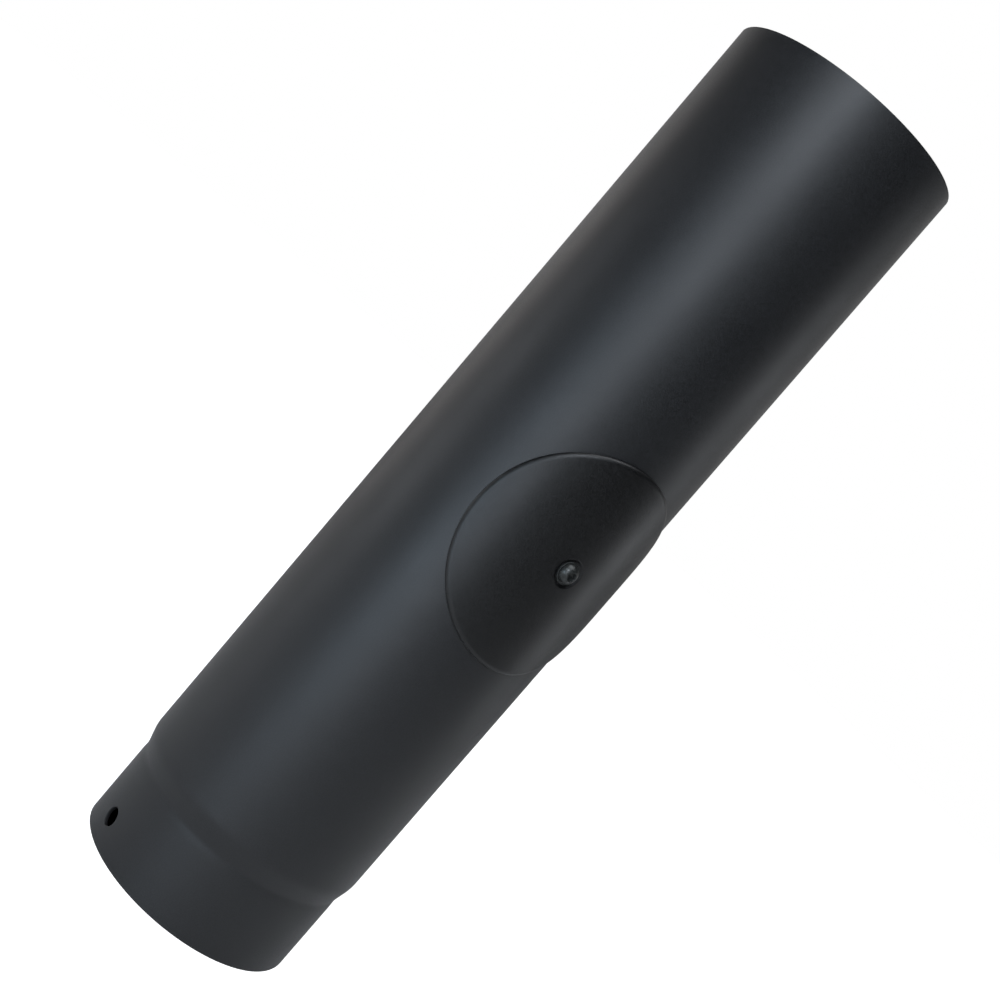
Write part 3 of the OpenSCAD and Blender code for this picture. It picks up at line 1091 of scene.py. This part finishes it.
def screw_mesh(sizes, centre):
    """A button-headed screw, from the bottom of its socket round the head and down to the tip."""
    made = Rings()
    top, rim, flat = sizes.head_height, sizes.head_radius, sizes.head_flat
    floor = top - sizes.socket_depth
    wall = hexagon(sizes.socket_across)
    half = sizes.socket_across / 2
    profile = [(half * 0.35, floor - 0.00032), (half * 0.7, floor - 0.00014), (half * 0.97, floor)]
    profile += [(wall - 0.00004, floor), (wall, floor + 0.00006), (wall, top - 0.00022)]
    profile += [(wall + 0.00008, top - 0.00006), (np.maximum(wall + 0.00014, half + 0.00026), top)]
    middle = (flat**2 + top**2 - rim**2) / (2 * top)
    dome = math.hypot(rim, middle)
    low, high = math.degrees(math.asin(-middle / dome)), math.degrees(math.acos(flat / dome))
    profile += [(flat - 0.00012, top)]
    profile += arc((0.0, middle), dome, high - 0.8, low + 2.0, 16)
    profile += [(rim - 0.00006, 0.00008), (rim - 0.0002, SEAT_GAP), (rim - 0.0005, SEAT_GAP)]
    neck = sizes.shank_radius - 0.0001
    tip = SCREW_TIP - HEAD_SEAT
    profile += [(neck + 0.0004, SEAT_GAP), (neck, -0.0002), (neck, -0.0005)]
    made.chain(profile, start=floor - 0.0005)
    made.thread(
        -0.0005, tip, sizes.pitch, sizes.shank_radius, sizes.root_radius, neck, sizes.root_radius
    )
    made.chain([(sizes.root_radius, tip), (sizes.root_radius * 0.6, tip)], end=tip)
    return made.mesh("button_screw", HEAD_SEAT, centre)


# ---------------------------------------------------------------------------------------------
# Stage
# ---------------------------------------------------------------------------------------------

# Colours of the lamps
WARM = (1.0, 0.94, 0.92)
COOL = (0.84, 0.91, 1.0)
BLUE = (0.66, 0.83, 1.0)
PALE = (0.93, 0.96, 1.0)

# Soft lamps round the pipe: name, turn from the camera to the right in degrees, distance from the pipe's
# axis, height, height it is aimed at, its width and height, all in metres, its power in watts and its colour
LAMPS = (
    ("front_strip", -6.0, 1.4, 0.38, 0.25, 0.30, 0.80, 3.7, COOL),
    ("rear_left_strip", -124.0, 1.4, 0.40, 0.25, 0.60, 0.76, 1.8, WARM),
    ("left_strip", -86.0, 1.4, 0.16, 0.12, 0.30, 0.55, 2.9, PALE),
    ("right_strip", 110.0, 1.4, 0.36, 0.25, 0.30, 0.76, 2.3, PALE),
    ("upper_left_softbox", -24.0, 1.4, 1.10, 0.35, 0.20, 0.60, 3.8, COOL),
    ("upper_front_softbox", -4.0, 1.4, 1.10, 0.35, 0.34, 0.60, 9.2, COOL),
    ("low_left_softbox", -26.0, 1.2, 0.10, 0.04, 0.40, 0.20, 2.8, BLUE),
    ("top_softbox", 0.0, 0.4, 1.90, 0.25, 1.20, 1.20, 19.0, PALE),
)

# Strength of the white backdrop in the paint, of the floor to the eye and in the paint, and how much of
# the lamps' light the floor sends back
BACKDROP = 0.6
FLOOR_GLOW = 0.97
FLOOR_REFLECTED = 0.04
FLOOR_ALBEDO = 0.8


def turned(azimuth, away, height):
    """The point at that turn from the door's side, distance from the axis and height."""
    return Vector((math.sin(azimuth) * away, -math.cos(azimuth) * away, height))


class Shades:
    """Short calls for the values that a stage shader is made of."""

    def __init__(self, tree):
        self.nodes, self.links = tree.nodes, tree.links

    def math(self, operation, *values):
        node = self.nodes.new("ShaderNodeMath")
        node.operation = operation
        for k, value in enumerate(values):
            if isinstance(value, bpy.types.NodeSocket):
                self.links.new(value, node.inputs[k])
            else:
                node.inputs[k].default_value = value
        return node.outputs[0]

    def rays(self, *kinds):
        """1 for rays of these kinds and 0 for the others."""
        path = self.nodes.new("ShaderNodeLightPath")
        seen = path.outputs[f"Is {kinds[0]} Ray"]
        for kind in kinds[1:]:
            seen = self.math("MAXIMUM", seen, path.outputs[f"Is {kind} Ray"])
        return seen

    def toward(self, source, direction, low, high):
        """Rises from 0 to 1 as a direction turns towards the given one."""
        dot = self.nodes.new("ShaderNodeVectorMath")
        dot.operation = "DOT_PRODUCT"
        dot.inputs[1].default_value = direction
        self.links.new(source, dot.inputs[0])
        soft = self.nodes.new("ShaderNodeMapRange")
        soft.interpolation_type = "SMOOTHSTEP"
        soft.inputs["From Min"].default_value = low
        soft.inputs["From Max"].default_value = high
        self.links.new(dot.outputs["Value"], soft.inputs["Value"])
        return soft.outputs["Result"]


class PIPE_OT_stage(Operator):
    """Build the pale floor, the soft lamps and the camera"""

    bl_idname = "stovepipe.stage"
    bl_label = "Stage"

    def execute(self, context):
        stage = context.scene.pipe_stage
        sizes = context.scene.pipe_sizes
        self.floor(sizes.outer_radius - sizes.spigot_drop - sizes.wall / 2)
        self.world(context.scene, stage)
        for name, turn, *rest in LAMPS:
            self.lamp(stage.azimuth + math.radians(turn), name, *rest)
        self.camera(context.scene, stage)
        context.scene.view_settings.view_transform = "Standard"
        return {"FINISHED"}

    def floor(self, inside):
        """A white floor that keeps the pipe's shadow. Within the pipe's own foot it is painted black, a
        painted shade for the dark inside of the pipe.
        """
        mesh = bpy.data.meshes.new("studio_floor")
        reach, low = 6.0, -0.0003
        corners = [(-reach, -reach, low), (reach, -reach, low), (reach, reach, low), (-reach, reach, low)]
        mesh.from_pydata(corners, [], [(0, 1, 2, 3)])
        floor = bpy.data.objects.new("studio_floor", mesh)
        bpy.context.scene.collection.objects.link(floor)
        material = bpy.data.materials.new("studio_floor_white")
        material.use_nodes = True
        tree = material.node_tree
        tree.nodes.clear()
        shades = Shades(tree)
        place = tree.nodes.new("ShaderNodeTexCoord").outputs["Object"]
        away = tree.nodes.new("ShaderNodeVectorMath")
        away.operation = "LENGTH"
        tree.links.new(place, away.inputs[0])
        # Painted shade: within the pipe's foot the floor gets no colour and no glow, so it is black where the
        # pipe's inside lies in shade
        beyond = shades.math("GREATER_THAN", away.outputs["Value"], inside)
        matt = tree.nodes.new("ShaderNodeBsdfDiffuse")
        tree.links.new(shades.math("MULTIPLY", beyond, FLOOR_ALBEDO), matt.inputs["Color"])
        glow = tree.nodes.new("ShaderNodeEmission")
        seen = shades.math("MULTIPLY", shades.rays("Camera", "Transmission"), FLOOR_GLOW)
        reflected = shades.math("MULTIPLY", shades.rays("Glossy"), FLOOR_REFLECTED)
        total = shades.math("MULTIPLY", shades.math("ADD", seen, reflected), beyond)
        tree.links.new(total, glow.inputs["Strength"])
        both = tree.nodes.new("ShaderNodeAddShader")
        tree.links.new(matt.outputs[0], both.inputs[0])
        tree.links.new(glow.outputs[0], both.inputs[1])
        out = tree.nodes.new("ShaderNodeOutputMaterial")
        tree.links.new(both.outputs[0], out.inputs["Surface"])
        mesh.materials.append(material)

    def world(self, scene, stage):
        """White to the eye. What glossy rays meet is a white backdrop behind the pipe, and dark elsewhere."""
        world = bpy.data.worlds.new("studio_surround")
        scene.world = world
        world.use_nodes = True
        tree = world.node_tree
        shades = Shades(tree)
        background = tree.nodes["Background"]
        background.inputs["Color"].default_value = (1.0, 1.0, 1.0, 1.0)
        way = tree.nodes.new("ShaderNodeTexCoord").outputs["Generated"]
        behind = shades.toward(way, turned(stage.azimuth + math.pi, 1.0, 0.0), 0.5, 0.8)
        unseen = shades.math("SUBTRACT", 1.0, shades.rays("Camera", "Transmission"))
        backdrop = shades.math("MULTIPLY", shades.math("MULTIPLY", behind, BACKDROP), unseen)
        total = shades.math("ADD", shades.rays("Camera", "Transmission"), backdrop)
        tree.links.new(total, background.inputs["Strength"])

    def lamp(self, turn, name, away, height, aim, width, tall, power, colour):
        light = bpy.data.lights.new(name, "AREA")
        light.shape = "RECTANGLE"
        light.size, light.size_y = width, tall
        light.energy, light.color = power, colour
        lamp = bpy.data.objects.new(name, light)
        lamp.location = turned(turn, away, height)
        to_pipe = Vector((0.0, 0.0, aim)) - lamp.location
        lamp.rotation_euler = to_pipe.to_track_quat("-Z", "Y").to_euler()
        lamp.visible_camera = False
        bpy.context.scene.collection.objects.link(lamp)

    def camera(self, scene, stage):
        data = bpy.data.cameras.new("photo_camera")
        data.sensor_width, data.lens = 36.0, stage.lens
        data.clip_start, data.clip_end = 0.01, 50.0
        camera = bpy.data.objects.new("photo_camera", data)
        scene.collection.objects.link(camera)
        place = turned(stage.azimuth, stage.distance, stage.height)
        ahead = -turned(stage.azimuth, 1.0, 0.0)
        up = Vector((0.0, 0.0, 1.0))
        right = ahead.cross(up)
        turn = Matrix.Rotation(stage.yaw, 3, up)
        ahead, right = turn @ ahead, turn @ right
        tilt = Matrix.Rotation(stage.pitch, 3, right)
        ahead, up = tilt @ ahead, tilt @ up
        roll = Matrix.Rotation(stage.roll, 3, ahead)
        right, up = roll @ right, roll @ up
        axes = Matrix((right, up, -ahead)).transposed().to_4x4()
        camera.matrix_world = Matrix.Translation(place) @ axes
        scene.camera = camera


class PIPE_PT_panel(Panel):
    """Lists the pieces of the stove pipe and the sizes that make them"""

    bl_idname = "PIPE_PT_panel"
    bl_label = "Stove Pipe"
    bl_space_type = "VIEW_3D"
    bl_region_type = "UI"
    bl_category = "Stove Pipe"

    def draw(self, context):
        layout = self.layout
        for operator in STEPS:
            layout.operator(operator.bl_idname)
        for name, group in GROUPS.items():
            box = layout.box()
            box.label(text=name.replace("_", " ").capitalize())
            for field in group.__annotations__:
                box.prop(getattr(context.scene, name), field)


STEPS = (PIPE_OT_tube, PIPE_OT_door, PIPE_OT_bridge, PIPE_OT_screw, PIPE_OT_stage)
CLASSES = (*GROUPS.values(), *STEPS, PIPE_PT_panel)


def register():
    for item in CLASSES:
        bpy.utils.register_class(item)
    for name, group in GROUPS.items():
        setattr(bpy.types.Scene, name, PointerProperty(type=group))


def unregister():
    for name in GROUPS:
        delattr(bpy.types.Scene, name)
    for item in reversed(CLASSES):
        bpy.utils.unregister_class(item)


def main():
    register()
    bpy.ops.stovepipe.tube()
    bpy.ops.stovepipe.door()
    bpy.ops.stovepipe.bridge()
    bpy.ops.stovepipe.screw()
    bpy.ops.stovepipe.stage()


if __name__ == "__main__":
    main()
